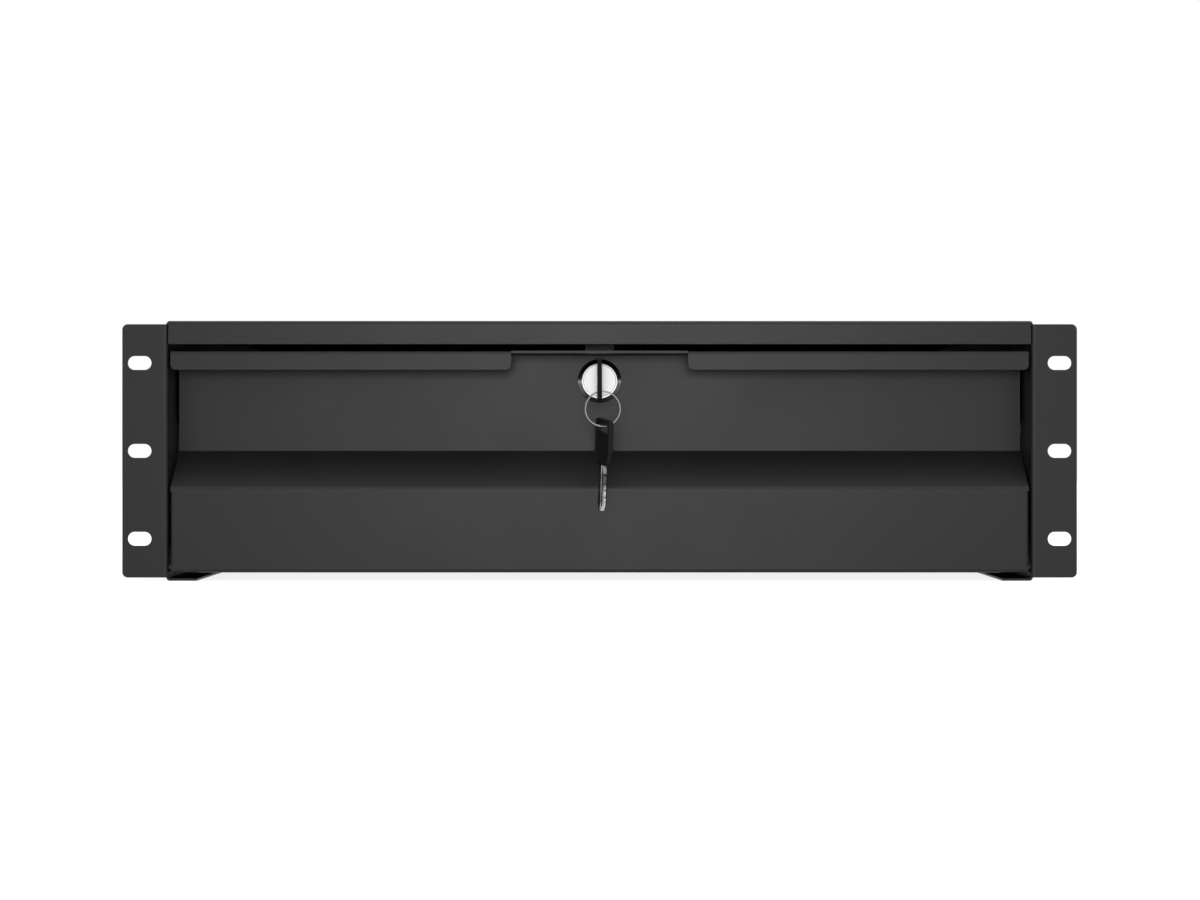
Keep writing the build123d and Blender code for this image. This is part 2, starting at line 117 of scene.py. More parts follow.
# %% [markdown]
# ## Shader sums
#
# A finish is a small network of nodes, and most of it is sums: a roughness plus a little noise, one mask
# times another. The nodes could be made and linked one at a time. Here one small class wraps a socket, so
# that a sum written in Python adds its own Math nodes. The network then reads like the thought behind it.

# %% A socket that takes part in sums
class Field:
    """A value that changes over a surface: the output socket of a node."""

    def __init__(self, finish, socket):
        self.finish = finish
        self.socket = socket

    def maths(self, operation, first, second=0.0):
        return self.finish.node("ShaderNodeMath", {"operation": operation}, {0: first, 1: second})

    def __add__(self, other):
        return self.maths("ADD", self, other)

    def __sub__(self, other):
        return self.maths("SUBTRACT", self, other)

    def __rsub__(self, other):
        return self.maths("SUBTRACT", other, self)

    def __mul__(self, other):
        return self.maths("MULTIPLY", self, other)

    __radd__ = __add__
    __rmul__ = __mul__

    def clamped(self):
        return self.finish.node("ShaderNodeClamp", {}, {"Value": self})


# %% A finish, and the one method that adds any node to it
class Finish:
    """A node tree of a material or of the world."""

    def __init__(self, owner, output):
        owner.use_nodes = True
        self.owner = owner
        self.tree = owner.node_tree
        self.tree.nodes.clear()
        self.output = self.tree.nodes.new(output)

    def node(self, kind, settings, sockets, output=0):
        """Adds a node: its settings first, then the values or links of its sockets."""
        node = self.tree.nodes.new(kind)
        for name, value in settings.items():
            setattr(node, name, value)
        for key, value in sockets.items():
            self.feed(self.socket(node, key), value)
        outputs = [socket for socket in node.outputs if socket.enabled]
        picked = outputs[output] if isinstance(output, int) else node.outputs[output]
        return Field(self, picked)

    def socket(self, node, key):
        if isinstance(key, int):
            return node.inputs[key]
        return next(s for s in node.inputs if s.enabled and s.name == key)

    def feed(self, socket, value):
        if isinstance(value, Field):
            self.tree.links.new(value.socket, socket)
        else:
            socket.default_value = value

    def mixed(self, factor, first, second):
        """Blend of two colours."""
        settings = {"data_type": "RGBA"}
        return self.node("ShaderNodeMix", settings, {"Factor": factor, "A": first, "B": second})

    def finished(self, surface):
        self.feed(self.output.inputs["Surface"], surface)
        return self.owner


# %% Colours and coordinates that the finishes share
def grey(level, warmth=0.0):
    """A grey as linear colour, a little warm or cool."""
    return (level * (1 + warmth), level, level * (1 - warmth), 1)


def material(name):
    return Finish(bpy.data.materials.new(name), "ShaderNodeOutputMaterial")


def places(finish, scale=(1, 1, 1)):
    """Where on the piece a point is, in metres, stretched along each axis."""
    point = finish.node("ShaderNodeTexCoord", {}, {}, "Object")
    settings = {"operation": "MULTIPLY"}
    return finish.node("ShaderNodeVectorMath", settings, {0: point, 1: scale})


def noise(finish, point, scale, detail=2.0, roughness=0.5):
    sockets = {"Vector": point, "Scale": scale, "Detail": detail, "Roughness": roughness}
    return finish.node("ShaderNodeTexNoise", {}, sockets, "Fac")


def bump(finish, height, distance, strength=1.0, normal=None):
    sockets = {"Height": height, "Distance": distance, "Strength": strength}
    if normal is not None:
        sockets["Normal"] = normal
    return finish.node("ShaderNodeBump", {}, sockets)


def principled(finish, sockets):
    return finish.finished(finish.node("ShaderNodeBsdfPrincipled", {}, sockets))


print("shader sums ready")

# %% [markdown]
# ## Studio
#
# The drawer stands on a plain pale floor in a white room. The white that the camera sees shouldn't come
# from bright lamps, which would wash out the dark paint. So the world and the floor look white to camera,
# mirror and glass rays, and the lamps only give a plain, even level: one in front, behind the camera, a
# larger and softer one above, and one behind for the views of the back. Two small faint lamps at the sides
# only show as glints in chrome. The floor keeps part of its own shading, so that the drawer still has its
# soft shadow.

# %% World
def seen_directly(finish):
    """1 for camera, mirror and glass rays, and 0 for the light that matt surfaces pass on."""
    paths = finish.node("ShaderNodeLightPath", {}, {}).socket.node
    rays = "Is Camera Ray", "Is Glossy Ray", "Is Transmission Ray"
    camera_ray, mirror_ray, glass_ray = [Field(finish, paths.outputs[ray]) for ray in rays]
    return (camera_ray + mirror_ray + glass_ray).clamped()


fill_level = 0.3

world = Finish(bpy.data.worlds.new("studio"), "ShaderNodeOutputWorld")
level = fill_level + (1 - fill_level) * seen_directly(world)
white_room = world.node("ShaderNodeBackground", {}, {"Color": grey(1.0), "Strength": level})
bpy.context.scene.world = world.finished(white_room)
print("world fill", fill_level)

# %% Floor
floor_half = 6.0
floor_level = 0.9
shadow_share = 0.6
glow = 2.12

floor_finish = material("floor")
seen = seen_directly(floor_finish)
matt = floor_finish.node("ShaderNodeBsdfDiffuse", {}, {"Color": grey(floor_level)})
white = floor_finish.node("ShaderNodeEmission", {}, {"Color": grey(1.0), "Strength": glow})
surface = {0: seen * (1 - shadow_share), 1: matt, 2: white}
floor_finish.finished(floor_finish.node("ShaderNodeMixShader", {}, surface))

floor_mesh = bpy.data.meshes.new("floor")
floor_z = cad_box[0][2]
corners = [(-1, -1), (1, -1), (1, 1), (-1, 1)]
floor_mesh.from_pydata([(x * floor_half, y * floor_half, floor_z) for x, y in corners], [], [range(4)])
floor_mesh.materials.append(floor_finish.owner)
floor = bpy.data.objects.new("floor", floor_mesh)
bpy.context.scene.collection.objects.link(floor)
print("floor at z", round(floor_z, 4))

# %% Lamps
def softbox(name, place, size, share, aim_y=0.0):
    """Area lamp aimed at the drawer, where it alone would light white paper to this share of white."""
    data = bpy.data.lights.new(name, "AREA")
    data.shape = "RECTANGLE"
    data.size, data.size_y = size
    towards = Vector((0, aim_y, 0)) - Vector(place)
    data.energy = share * (math.pi * towards.length) ** 2
    lamp = bpy.data.objects.new(name, data)
    lamp.location = place
    lamp.rotation_euler = towards.to_track_quat("-Z", "Y").to_euler()
    bpy.context.scene.collection.objects.link(lamp)
    return lamp


case_middle = cad_box[1][1] / 2
front_lamp = softbox("front_lamp", (0, -1.9, -0.02), (0.6, 1.0), 0.58)
softbox("top_lamp", (0.3, -0.4, 2.2), (2.2, 1.6), 0.5, case_middle)
softbox("back_lamp", (0.8, 2.8, 1.0), (2.0, 1.4), 0.4)
for side in (-1, 1):
    softbox("side_lamp", (side * 1.5, -0.42, 0.03), (0.2, 0.2), 0.03)

# %% [markdown]
# ## Powder coat
#
# The steel is sprayed with a fine black powder and baked. The coat is dark, semi-matt and slightly
# pebbled, and it flows into a soft cloudiness that is only seen where light glances off it. A plain dark
# colour would look like a drawing. Three noises do it: two small ones for the grains and the pebbles, as a
# bump, and a large faint one that shifts the roughness and the grey.

# %% Powder coat
grains_per_metre, pebbles_per_metre, clouds_per_metre = 1500, 620, 22
darkest_coat, lightest_coat = grey(0.0070), grey(0.0106)
coat_shine = 0.245
pebble_depth = 0.03 * mm


def powder_coat():
    finish = material("powder_coat")
    point = places(finish)
    grain = noise(finish, point, grains_per_metre, 3.0, 0.6)
    cloud = noise(finish, point, clouds_per_metre, 3.0, 0.55)
    pebbles = noise(finish, point, pebbles_per_metre, 2.0, 0.5)
    tone = (0.25 + 0.5 * cloud) + 0.25 * grain
    colour = finish.mixed(tone.clamped(), darkest_coat, lightest_coat)
    rough = 0.35 + 0.08 * cloud + 0.05 * grain
    height = 0.7 * grain + 0.6 * pebbles
    return principled(finish, {
        "Base Color": colour, "Roughness": rough, "Specular IOR Level": coat_shine,
        "Normal": bump(finish, height, pebble_depth, 0.8),
    })


grain_size, pebble_size = [1 / (per_metre * mm) for per_metre in (grains_per_metre, pebbles_per_metre)]
print("grains of", round(grain_size, 1), "mm on pebbles of", round(pebble_size, 1), "mm")

# %% [markdown]
# ## Bare metals
#
# The rails and screws are zinc plated, the balls are polished, the lock is satin chrome, the keys are
# nickel plated and the rivets are aluminium. All are metals with one colour, and differ in how rough they
# are and in the marks of their making: drawn lines along a rail, turned rings on the lock, soft scratches
# on a key. A stretched noise gives lines, and a noise of the distance from an axis gives rings. The lock's
# bevel gets a painted dark reflection, and a coarse noise lays painted glints, bright spots of colour in
# place of glints of light, over darker nickel on the blade of a key.

# %% Zinc, steel and aluminium
blotches_per_metre = 160
dark_blotch, light_blotch = 0.86, 1.08
key_scratches = (2600, 700, 260)
scratch_depth = 0.004 * mm


def drawn_metal(name, level, warmth, rough, stretch, depth):
    """Metal with fine lines along the axis on which its noise is stretched."""
    finish = material(name)
    lines = noise(finish, places(finish, stretch), 1.0, 3.0, 0.6)
    blotch = noise(finish, places(finish), blotches_per_metre, 3.0, 0.6)
    colour = finish.mixed(blotch, grey(level * dark_blotch, warmth), grey(level * light_blotch, warmth))
    return principled(finish, {
        "Base Color": colour, "Metallic": 1.0, "Roughness": rough + 0.12 * lines + 0.1 * blotch,
        "Normal": bump(finish, lines + 0.3 * blotch, depth, 0.5),
    })


# %% Nickel with painted glints
glints_per_metre, glint_stretch, glint_contrast = 200, (1.3, 0.75, 0.75), 4.5
nickel_between_glints, painted_glint_nickel = grey(0.08, 0.02), grey(0.43, 0.02)
waves_per_metre, wave_depth = 330, 0.25 * mm


def nickel_with_painted_glints(name):
    """Nickel with painted glints: bright spots of colour in place of glints of light, and darker nickel
    between.
    """
    finish = material(name)
    scratches = noise(finish, places(finish, key_scratches), 1.0, 3.0, 0.6)
    # Painted glints: a contrasty noise makes bright spots of colour in place of glints of light, with
    # darker nickel between.
    glint_spots = noise(finish, places(finish, glint_stretch), glints_per_metre, 1.0, 0.4)
    painted_glints = (0.5 + glint_contrast * (glint_spots - 0.5)).clamped()
    swell = noise(finish, places(finish), waves_per_metre, 1.0, 0.4)
    waves = bump(finish, swell, wave_depth)
    return principled(finish, {
        "Base Color": finish.mixed(painted_glints, nickel_between_glints, painted_glint_nickel), "Metallic": 1.0,
        "Roughness": 0.3 - 0.2 * painted_glints + 0.1 * scratches,
        "Normal": bump(finish, scratches, scratch_depth, 0.5, waves),
    })


# %% Chrome of the lock
lock_face_radius = 9.0 * mm
bevel_blend = 0.125 * mm
painted_dark_reflection_level = 0.09
dull_chrome, bright_chrome = grey(0.84), grey(0.90)
rings_per_metre, ring_depth = 5200.0, 0.003 * mm
chrome_haze_per_metre = 420


def lock_chrome():
    """Bright turned face, and a painted dark reflection from the bevel outward: a dark colour in place of
    the dark surroundings that the bevel mirrors.
    """
    finish = material("lock_chrome")
    lock_low, lock_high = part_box("lock_body")
    middle = (lock_low + lock_high) / 2
    point = finish.node("ShaderNodeTexCoord", {}, {}, "Object")
    across = finish.node("ShaderNodeVectorMath", {"operation": "SUBTRACT"}, {0: point, 1: middle})
    across = finish.node("ShaderNodeVectorMath", {"operation": "MULTIPLY"}, {0: across, 1: (1, 0, 1)})
    radius = finish.node("ShaderNodeVectorMath", {"operation": "LENGTH"}, {0: across}, "Value")
    rings = finish.node("ShaderNodeTexNoise", {"noise_dimensions": "1D"}, {
        "W": radius, "Scale": rings_per_metre, "Detail": 2.0,
    }, "Fac")
    haze = noise(finish, point, chrome_haze_per_metre, 3.0, 0.6)
    plated = finish.mixed(haze, dull_chrome, bright_chrome)
    # Painted dark reflection: from the bevel outward the chrome's colour turns dark, in place of the dark
    # things that it mirrors.
    bevel = ((radius - lock_face_radius) * (1 / bevel_blend)).clamped()
    colour = finish.mixed(bevel, plated, grey(painted_dark_reflection_level))
    return principled(finish, {
        "Base Color": colour, "Metallic": 1.0, "Roughness": 0.14 + 0.08 * rings + 0.05 * haze,
        "Normal": bump(finish, rings, ring_depth, 0.35),
    })


# %% [markdown]
# ## Plastic and rubber
#
# The key heads are black moulded plastic with the faint leather grain of a mould, a little shiny where
# fingers polish it. The bumpers are duller rubber. Both are one recipe with other numbers.

# %% Plastic and rubber
haze_per_metre = 90
dark_haze, light_haze = 0.8, 1.25


def moulded(name, level, rough, shine, grain_scale, depth):
    """Black plastic or rubber with a fine grain and a faint haze of finger marks."""
    finish = material(name)
    point = places(finish)
    grain = noise(finish, point, grain_scale, 2.0, 0.5)
    haze = noise(finish, point, haze_per_metre, 3.0, 0.6)
    colour = finish.mixed(haze, grey(level * dark_haze), grey(level * light_haze))
    return principled(finish, {
        "Base Color": colour, "Roughness": rough + 0.1 * grain + 0.08 * haze, "Specular IOR Level": shine,
        "Normal": bump(finish, grain, depth, 0.6),
    })


# %% Give every node its finish
# A metal's numbers: grey, warmth, roughness, scale of its marks along each axis, their depth.
# A plastic's numbers: grey, roughness, shine, scale of its grain, the grain's depth.
finishes = {
    "powder_coat": powder_coat(),
    "zinc_steel": drawn_metal("zinc_steel", 0.52, -0.012, 0.26, (2600, 60, 2600), 0.01 * mm),
    "ball_steel": drawn_metal("ball_steel", 0.62, 0.0, 0.08, (400, 400, 400), 0.001 * mm),
    "lock_chrome": lock_chrome(),
    "key_plastic": moulded("key_plastic", 0.008, 0.36, 0.1, 2400, 0.02 * mm),
    "key_steel": drawn_metal("key_steel", 0.3, 0.02, 0.04, key_scratches, scratch_depth),
    "bumper_rubber": moulded("bumper_rubber", 0.02, 0.62, 0.3, 1400, 0.03 * mm),
    "rivet_aluminium": drawn_metal("rivet_aluminium", 0.66, 0.0, 0.3, (900, 900, 900), 0.006 * mm),
}
slot_of = {part["node"]: part["material_slot"] for part in frame["record"]["subparts"]}
for name, obj in nodes.items():
    for slot in obj.material_slots:
        slot.material = finishes[slot_of[name]]
print(len(finishes), "finishes on", len(nodes), "nodes")

# %% [markdown]
# ## Edges of the sheets
#
# No edge of painted steel is truly sharp: the shears leave a small round, and the powder flows over it. A
# bright thin line along each edge is what tells the eye that this is sheet metal. The edges could be faked
# with a shader, but rounded geometry also looks right up close. So each folded piece is copied, the flat
# triangles that its mesh came with are joined into plain faces, and every sharp edge gets a small bevel.

# %% A piece, and a node with its edges rounded
weld_distance = 0.002 * mm
flat_angle = math.radians(0.5)
sharp_angle = math.radians(35)
crowd_reach = 0.5 * mm


def piece(name, mesh, body, slot, *stands_for):
    """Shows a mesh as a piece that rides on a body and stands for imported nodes."""
    mesh.materials.clear()
    mesh.materials.append(finishes[slot])
    obj = bpy.data.objects.new(name, mesh)
    bpy.context.scene.collection.objects.link(obj)
    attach(obj, body)
    if stands_for:
        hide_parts(*stands_for)
    return obj


def body_of(node):
    return nodes[node]["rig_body"]


def smooth_mesh(shape, name):
    """Turns a bmesh into a mesh that is smooth but for its sharp edges."""
    mesh = bpy.data.meshes.new(name)
    for face in shape.faces:
        face.smooth = True
    shape.to_mesh(mesh)
    shape.free()
    if "custom_normal" in mesh.attributes:
        mesh.attributes.remove(mesh.attributes["custom_normal"])
    mesh.set_sharp_from_angle(angle=sharp_angle)
    return mesh


def rounded(node, radius, crowded):
    """Mesh of a node with rounds on its sharp edges, and the places where a round had no room.

    A corner has had no room if the bevel threw it more than half a radius away from the old surface.
    """
    shape = bmesh.new()
    shape.from_mesh(nodes[node].data)
    bmesh.ops.remove_doubles(shape, verts=shape.verts, dist=weld_distance)
    bmesh.ops.dissolve_limit(shape, angle_limit=flat_angle, verts=shape.verts, edges=shape.edges)
    surface = BVHTree.FromBMesh(shape)
    tight = KDTree(len(crowded))
    for index, place in enumerate(crowded):
        tight.insert(place, index)
    tight.balance()
    free = {v for v in shape.verts if not crowded or tight.find(v.co)[2] > crowd_reach}
    sharp = [edge for edge in shape.edges if edge.is_manifold and edge.calc_face_angle() > sharp_angle]
    sharp = [edge for edge in sharp if free.issuperset(edge.verts)]
    bmesh.ops.bevel(
        shape, geom=sharp, offset=radius, offset_type="OFFSET", segments=2, profile=0.5, affect="EDGES",
    )
    thrown = {vert for vert in shape.verts if surface.find_nearest(vert.co)[3] > radius / 2}
    beside = {edge.other_vert(vert) for vert in thrown for edge in vert.link_edges} - thrown
    return shape, len(sharp), [vert.co.copy() for vert in beside]


def softened(node, radius):
    """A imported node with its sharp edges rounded, which then stands for the node.

    Where edges crowd together, a bevel throws corners far out. The edges there are left as they are.
    """
    crowded, found = [], True
    while found:
        shape, count, found = rounded(node, radius, crowded)
        crowded += found
    low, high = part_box(node)
    for vert in shape.verts:
        vert.co = [min(max(place, least), most) for place, least, most in zip(vert.co, low, high)]
    mesh = smooth_mesh(shape, node + "_soft")
    obj = piece(node + "_soft", mesh, body_of(node), slot_of[node], node)
    obj.modifiers.new("even shading", "WEIGHTED_NORMAL").keep_sharp = True
    print(obj.name, count, "edges rounded,", len(mesh.polygons), "faces,", len(crowded), "crowded places")
    return obj


# %% Round the edges of the folded steel
sheet_round = 0.22 * mm

for name in ("case_shell", "drawer_front", "drawer_tray", "drawer_back", "rear_panel", "lock_strike"):
    softened(name, sheet_round)

# %% [markdown]
# ## Rails, fasteners and other small hardware
#
# The rails are rolled from strip and have soft corners too. So have the screw heads, the washers, the cam
# and the rubber bumpers, each with a round that fits its size. The same step does for all of them, with a
# smaller radius for a smaller piece.

# %% Round the edges of the small hardware
in_pairs = {"outer_rail": 0.2, "middle_rail": 0.2, "inner_rail": 0.2, "rear_bumper": 0.6}
small_rounds = {part + side: in_pairs[part] for part in in_pairs for side in ("_left", "_right")}
small_rounds.update({
    "case_screws": 0.12, "tray_screws": 0.12, "lock_washer": 0.12, "lock_cam": 0.25, "cam_washer": 0.1,
    "cam_screw": 0.12,
})
for name, radius in small_rounds.items():
    softened(name, radius * mm)

# %% [markdown]
# ## Skins
#
# The lock, the keys, the ring and the rivets are turned, milled or bent, and none of them is a plain box or
# cylinder. Each can be described by closed loops of points, one behind the other, like the hoops of a
# barrel. Joining every loop to the next with faces gives a skin with exactly the shape that was meant.
# Modifiers on a simple solid would also do, but would give less control over threads and notches.

# %% Loops and skins
def skin(shape, loops, capped=False, ring=False):
    """Joins closed loops of points with faces, and closes the ends or leads the last to the first."""
    rows = [[shape.verts.new(point) for point in loop] for loop in loops]
    pairs = list(zip(rows, rows[1:])) + [(rows[-1], rows[0])] * ring
    for near, far in pairs:
        for index, (a, b) in enumerate(zip(near, far)):
            following = (index + 1) % len(near)
            shape.faces.new((a, near[following], far[following], b))
    if capped:
        shape.faces.new(rows[0])
        shape.faces.new(rows[-1])
    return rows


def around(radius_at, along, count):
    """Loop round the Y axis at one place along it; the radius may change with the angle."""
    angles = [math.tau * step / count for step in range(count)]
    radii = [radius_at(angle) for angle in angles]
    return [Vector((r * math.cos(a), along, r * math.sin(a))) for a, r in zip(angles, radii)]


def turned(profile, count):
    """Loops of a turned shape, from its (place along Y, radius) pairs in millimetres."""
    return [around(lambda angle, r=radius: r * mm, along * mm, count) for along, radius in profile]


def closed_mesh(shape, name):
    """Turns a closed skin into a mesh with all its faces turned outward."""
    bmesh.ops.recalc_face_normals(shape, faces=shape.faces)
    return smooth_mesh(shape, name)


def solids_of(node):
    """Boxes of the separate solids of a node, as (low, high), from left to right."""
    shape = bmesh.new()
    shape.from_mesh(nodes[node].data)
    bmesh.ops.remove_doubles(shape, verts=shape.verts, dist=weld_distance)
    waiting = set(shape.verts)
    boxes = []
    while waiting:
        found = [waiting.pop()]
        for vert in found:
            fresh = {edge.other_vert(vert) for edge in vert.link_edges} & waiting
            waiting -= fresh
            found.extend(fresh)
        sides = list(zip(*(vert.co for vert in found)))
        boxes.append((Vector([min(side) for side in sides]), Vector([max(side) for side in sides])))
    shape.free()
    return sorted(boxes, key=lambda box: tuple(box[0]))


print("skins ready")

# %% [markdown]
# ## Blind rivets
#
# A blind rivet is pulled tight from outside. Its domed head keeps the hole where the steel pin snapped off,
# and inside the sheet its tail swells to a bulb. Both shapes are turned, so a profile says it all. Every
# rivet of the frame has its own box, which tells where it sits, how long it is and which way it points.

# %% Blind rivets
rivet_head_height = 1.1
rivet_sides = 28


def rivet_profile(length):
    """Places and radii from the tail end to the broken pin in the head, in millimetres."""
    head = length - rivet_head_height
    tail = [(0, 1.3), (0.12, 1.9), (0.4, 2.35), (0.8, 2.6), (1.15, 2.5), (1.4, 2.1), (1.5, 1.6)]
    dome = [(0, 1.6), (0, 3.1), (0.08, 3.2), (0.3, 3.2), (0.5, 3.02), (0.75, 2.6), (0.95, 2.0), (1.07, 1.5)]
    dome += [(rivet_head_height, 1.2), (1.06, 1.02)]
    pin = [(0.98, 0.95), (0.5, 0.92), (0.5, 0.8), (0.62, 0.7), (0.66, 0.4)]
    return tail + [(head + along, radius) for along, radius in dome + pin]


for name in ("rear_rivets", "back_rivets"):
    shape = bmesh.new()
    for low, high in solids_of(name):
        outward = math.copysign(1, low.x + high.x)
        inner_end = low.x if outward > 0 else high.x
        turn = Matrix.Translation((inner_end, (low.y + high.y) / 2, (low.z + high.z) / 2))
        turn @= Matrix.Rotation(math.radians(-90 * outward), 4, "Z")
        loops = turned(rivet_profile((high.x - low.x) / mm), rivet_sides)
        skin(shape, [[turn @ point for point in loop] for loop in loops], capped=True)
    mesh = closed_mesh(shape, name + "_pulled")
    piece(mesh.name, mesh, body_of(name), slot_of[name], name)
    print(mesh.name, len(mesh.polygons), "faces")

# %% [markdown]
# ## Lock body
#
# The lock is a die-cast body with a bevelled round head, and a threaded barrel behind it that passes
# through the panel. The barrel has two flats, which stop it from turning in its hole. The thread could be a
# bump, but from behind it is the shape that shows. So the radius of the barrel rises and falls along a
# screw line, and is cut off where the flats are.

# %% Lock body
lock_z = (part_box("lock_body")[0].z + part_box("lock_body")[1].z) / 2
lock_turn = Matrix.Translation((0, 0, lock_z))
barrel_start, barrel_end = 19.8, 37.8
barrel_radius, barrel_flat, barrel_rear_round = 9.4, 8.2, 0.5
thread_pitch, thread_depth, thread_step = 1.2, 0.42, 0.15
thread_from, thread_run_in = 1.3, 0.5
groove_half_share = 0.4
bore_start, bore_radius = 18.3, 6.3
lock_sides = 72
least_cosine = 0.01


def barrel_loop(along):
    """Loop of the barrel: a screw line with two flats."""
    depth = thread_depth * min(1, max(0, (along - barrel_start - thread_from) / thread_run_in))

    def radius_at(angle):
        turn = (along / thread_pitch - angle / math.tau) % 1
        groove = depth * max(0, 1 - abs(turn - 0.5) / groove_half_share)
        flat = barrel_flat / max(abs(math.cos(angle)), least_cosine)
        return min(barrel_radius - groove, flat) * mm

    return around(radius_at, along * mm, lock_sides)


head = [(bore_start, 8.22), (17.0, 8.22), (16.88, 8.26), (16.8, 8.36), (16.8, 8.86), (16.84, 8.97)]
head += [(16.93, 9.07), (18.42, 11.06), (18.5, 11.16), (18.62, 11.22), (18.75, 11.25), (19.6, 11.25)]
head += [(19.74, 11.2), (barrel_start, 11.1)]
steps = round((barrel_end - barrel_rear_round - barrel_start) / thread_step)
barrel = [barrel_loop(barrel_start + step * thread_step) for step in range(steps + 1)]
bore = [(barrel_end - 0.1, 8.1), (barrel_end, 8.0), (barrel_end, 6.45), (barrel_end - 0.15, bore_radius)]
bore += [(bore_start, bore_radius)]
shape = bmesh.new()
skin(shape, turned(head, lock_sides) + barrel + turned(bore, lock_sides), ring=True)
mesh = closed_mesh(shape, "lock_body_cast")
mesh.transform(lock_turn)
lock_cast = piece("lock_body_cast", mesh, body_of("lock_body"), "lock_chrome", "lock_body")
print(lock_cast.name, len(mesh.polygons), "faces")

# %% [markdown]
# ## Lock nut
#
# The nut that holds the lock is a thin steel hexagon. A lathe has cut its corners off on both sides, which
# leaves the curved lines that everyone knows from a nut. The radius at each angle is that of a hexagon, but
# never more than the cone of the lathe allows.

# %% Lock nut
nut_low, nut_high = [corner.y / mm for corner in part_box("lock_nut")]
nut_half = 12.0
nut_bore, nut_bore_chamfer = 9.45, 0.35


def nut_loop(along, cone):
    """Loop of a hexagon whose corners go no further out than the lathe's cone."""
    def radius_at(angle):
        hexagon = nut_half / math.cos((angle % math.radians(60)) - math.radians(30))
        return min(hexagon, cone) * mm

    return around(radius_at, along * mm, lock_sides)


outside = [(0.0, 11.9), (0.12, 12.15), (0.3, 12.6), (0.55, 13.2), (0.85, 13.9)]
loops = [nut_loop(nut_low + rise, cone) for rise, cone in outside]
loops += [nut_loop(nut_high - rise, cone) for rise, cone in reversed(outside)]
wide = nut_bore + nut_bore_chamfer
loops += turned([(nut_high, wide), (nut_high - nut_bore_chamfer, nut_bore)], lock_sides)
loops += turned([(nut_low + nut_bore_chamfer, nut_bore), (nut_low, wide)], lock_sides)
shape = bmesh.new()
skin(shape, loops, ring=True)
mesh = closed_mesh(shape, "lock_nut_turned")
mesh.transform(lock_turn)
piece("lock_nut_turned", mesh, body_of("lock_nut"), slot_of["lock_nut"], "lock_nut")
print("lock nut", round(nut_high - nut_low, 2), "mm thick,", len(mesh.polygons), "faces")

# %% [markdown]
# ## Lock plug
#
# The plug is the round core of the lock, which turns with the key in its slot. It could be turned as a skin
# too, but the slot would then have to be cut again. The frame already has its true shape, so it only gets
# small rounds along its edges.

# %% Lock plug
plug_round = 0.1 * mm

lock_plug = softened("lock_plug", plug_round)

# %% [markdown]
# ## Key ring
#
# A split ring is a flat spring wire wound twice round. Where one turn ends, the wire steps over to lie
# against the other. A plain torus would miss the line between the two turns. Here the section of the wire
# follows the coil, and nearly all of the step happens in a short stretch, as on a real ring.

# %% Key ring
ring_low, ring_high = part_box("key_ring")
ring_middle = (ring_low + ring_high) / 2
wire_across = (ring_high.y - ring_low.y) / 4
wire_deep = 0.36 * mm
ring_radius = (ring_high.x - ring_low.x) / 2 - wire_deep
ring_gap = 0.03
ring_steps = 200
crossing_start, crossing_turns = 0.955, 0.09
wire_end_angle = math.radians(205)
wire_sides, wire_squareness, wire_width_share = 16, 0.8, 0.96


def wire_shift(turns):
    """How far the middle of the wire lies from the middle of the ring, along Y, after so many turns."""
    step = min(1, max(0, (turns - crossing_start) / crossing_turns))
    return wire_across * (2 * (3 * step ** 2 - 2 * step ** 3) - 1)


def squared(wave):
    """Bends a circle's sine or cosine towards that of a square with round corners."""
    return math.copysign(abs(wave) ** wire_squareness, wave)


def wire_loop(turns):
    """Section of the wire after so many turns of the coil."""
    angle = math.tau * turns + wire_end_angle
    out = Vector((math.cos(angle), 0, math.sin(angle)))
    middle = ring_middle + out * ring_radius + Vector((0, wire_shift(turns), 0))
    loop = []
    for step in range(wire_sides):
        corner = math.tau * step / wire_sides
        across = squared(math.cos(corner)) * wire_across * wire_width_share
        deep = squared(math.sin(corner)) * wire_deep
        loop.append(middle + out * deep + Vector((0, across, 0)))
    return loop


shape = bmesh.new()
coil = [ring_gap + (2 - 2 * ring_gap) * step / ring_steps for step in range(ring_steps + 1)]
skin(shape, [wire_loop(turns) for turns in coil], capped=True)
mesh = closed_mesh(shape, "split_ring")
split_ring = piece("split_ring", mesh, body_of("key_ring"), slot_of["key_ring"], "key_ring")
print("split ring radius", round(ring_radius / mm, 2), "mm")

# %% [markdown]
# ## Keys
#
# Both keys are alike: a steel blade with a groove along each side and notches in both edges, moulded into a
# black plastic head. The head has a thin web, a raised rim and a collar round its long eye. Each shape is
# written once, in a frame of its own with the blade along Y, and then carried to the two keys. One is
# straight in the lock, edge on. The other hangs from the ring by its eye, with its blade down, its head
# turned part of the way towards the viewer, and a slight tilt.

# %% Key head
head_corners = [(-11, -23.4), (11, -23.4), (11, -6.6), (7.7, 0), (-7.7, 0), (-11, -6.6)]
eye_corners = [(-7.6, -20.4), (7.6, -20.4), (7.6, -16.4), (-7.6, -16.4)]
head_round, eye_round = 2.5, 0.8
head_half, web_half, fillet_half = 1.2, 0.85, 0.95
corner_steps = 7


